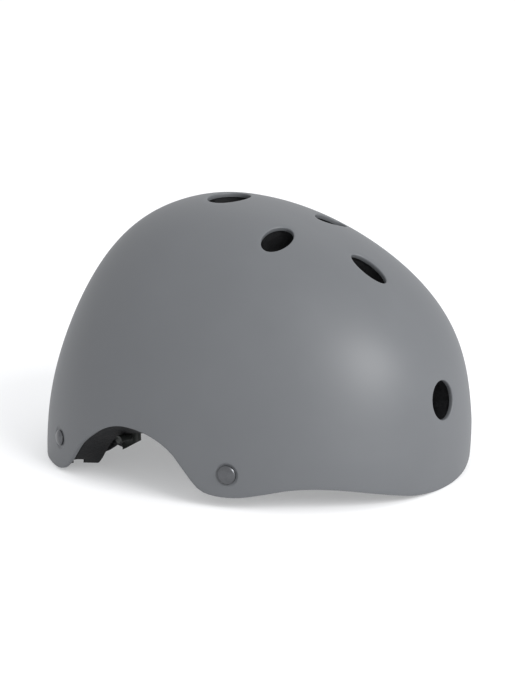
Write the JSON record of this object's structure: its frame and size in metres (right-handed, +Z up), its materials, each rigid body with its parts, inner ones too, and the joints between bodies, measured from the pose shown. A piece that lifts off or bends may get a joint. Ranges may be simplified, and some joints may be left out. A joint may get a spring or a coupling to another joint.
{
  "type": "bicycle helmet",
  "caption": "Round hard-shell helmet with oval vents, foam liner, soft pads, riveted chin webbing with a side-release buckle, and a dial-adjusted nape cradle.",
  "frame": {"origin": "middle of the helmet on the plane that its rim stands on", "axes": "+X towards the wearer's front, +Y towards the wearer's left, +Z up"},
  "size_m": [0.2714, 0.2118, 0.16],
  "materials": {
    "shell_plastic": "matte, moulded ABS",
    "foam": "matte, bead-moulded foam",
    "pad_fabric": "brushed knit",
    "hook_tape": "woven hook tape",
    "steel": "polished",
    "black_plastic": "fine-grained acetal",
    "grey_plastic": "matte nylon",
    "webbing": "woven polyester"
  },
  "bodies": {
    "helmet": {"outer_shell": "shell_plastic", "foam_liner": "foam", "front_pad": "pad_fabric", "temple_pad_left": "pad_fabric", "temple_pad_right": "pad_fabric", "side_pad_left": "pad_fabric", "side_pad_right": "pad_fabric", "crown_pad_left": "pad_fabric", "crown_pad_right": "pad_fabric", "rear_pad_left": "pad_fabric", "rear_pad_right": "pad_fabric", "hook_patches": "hook_tape", "front_rivets": "steel", "rear_rivets": "steel", "rivet_washers": "steel", "front_anchors": "black_plastic", "rear_anchors": "black_plastic", "front_strap_left": "webbing", "front_strap_right": "webbing", "rear_strap_left": "webbing", "rear_strap_right": "webbing", "chin_strap_right": "webbing", "divider_left": "black_plastic", "divider_right": "black_plastic", "cam_pins": "steel", "buckle_socket": "black_plastic", "band_anchors": "grey_plastic"},
    "cam_left": {"cam_lever_left": "black_plastic"},
    "cam_right": {"cam_lever_right": "black_plastic"},
    "plug": {"buckle_plug": "black_plastic", "buckle_prongs": "black_plastic", "chin_strap_left": "webbing"},
    "keeper": {"strap_keeper": "black_plastic"},
    "cradle": {"nape_cradle": "black_plastic", "cradle_cover": "black_plastic", "cradle_pad": "pad_fabric"},
    "dial": {"fit_dial": "black_plastic", "fit_pinion": "grey_plastic", "dial_screw": "steel"},
    "left_rack": {"rack_left": "grey_plastic", "band_left": "black_plastic"},
    "right_rack": {"rack_right": "grey_plastic", "band_right": "black_plastic"}
  },
  "joints": [
    {"name": "cam_left_swing", "type": "hinge", "parent": "helmet", "child": "cam_left", "pos_m": [-0.01797, 0.06571, 0.04117], "axis": [0.999, 0, -0.0454], "range_deg": [0, 80]},
    {"name": "cam_right_swing", "type": "hinge", "parent": "helmet", "child": "cam_right", "pos_m": [-0.01797, -0.06571, 0.04117], "axis": [-0.999, 0, 0.0454], "range_deg": [0, 80]},
    {"name": "buckle_slide", "type": "slide", "parent": "helmet", "child": "plug", "axis": [0, 1, 0], "range_m": [0, 0.023], "deforming": ["chin_strap_left", "buckle_prongs"]},
    {"name": "keeper_slide", "type": "slide", "parent": "plug", "child": "keeper", "axis": [0, 0.9782, 0.2079], "range_m": [-0.005, 0.001]},
    {"name": "dial_turn", "type": "hinge", "parent": "cradle", "child": "dial", "pos_m": [-0.097, 0, 0.024], "axis": [1, 0, 0], "range_deg": [0, 141]},
    {"name": "cradle_slide", "type": "slide", "parent": "helmet", "child": "cradle", "axis": [1, 0, 0], "range_m": [0, 0.00738]},
    {"name": "rack_left_slide", "type": "slide", "parent": "helmet", "child": "left_rack", "axis": [0.525, -0.8511, 0], "range_m": [0, 0.0144], "deforming": ["band_left"]},
    {"name": "rack_right_slide", "type": "slide", "parent": "helmet", "child": "right_rack", "axis": [0.525, 0.8511, 0], "range_m": [0, 0.0144], "deforming": ["band_right"]}
  ],
  "couplings": [
    {"joint": "dial_turn", "follows": "cradle_slide", "rad_per_m": 324.19},
    {"joint": "rack_left_slide", "follows": "cradle_slide", "ratio": 1.9048},
    {"joint": "rack_right_slide", "follows": "cradle_slide", "ratio": 1.9048}
  ]
}
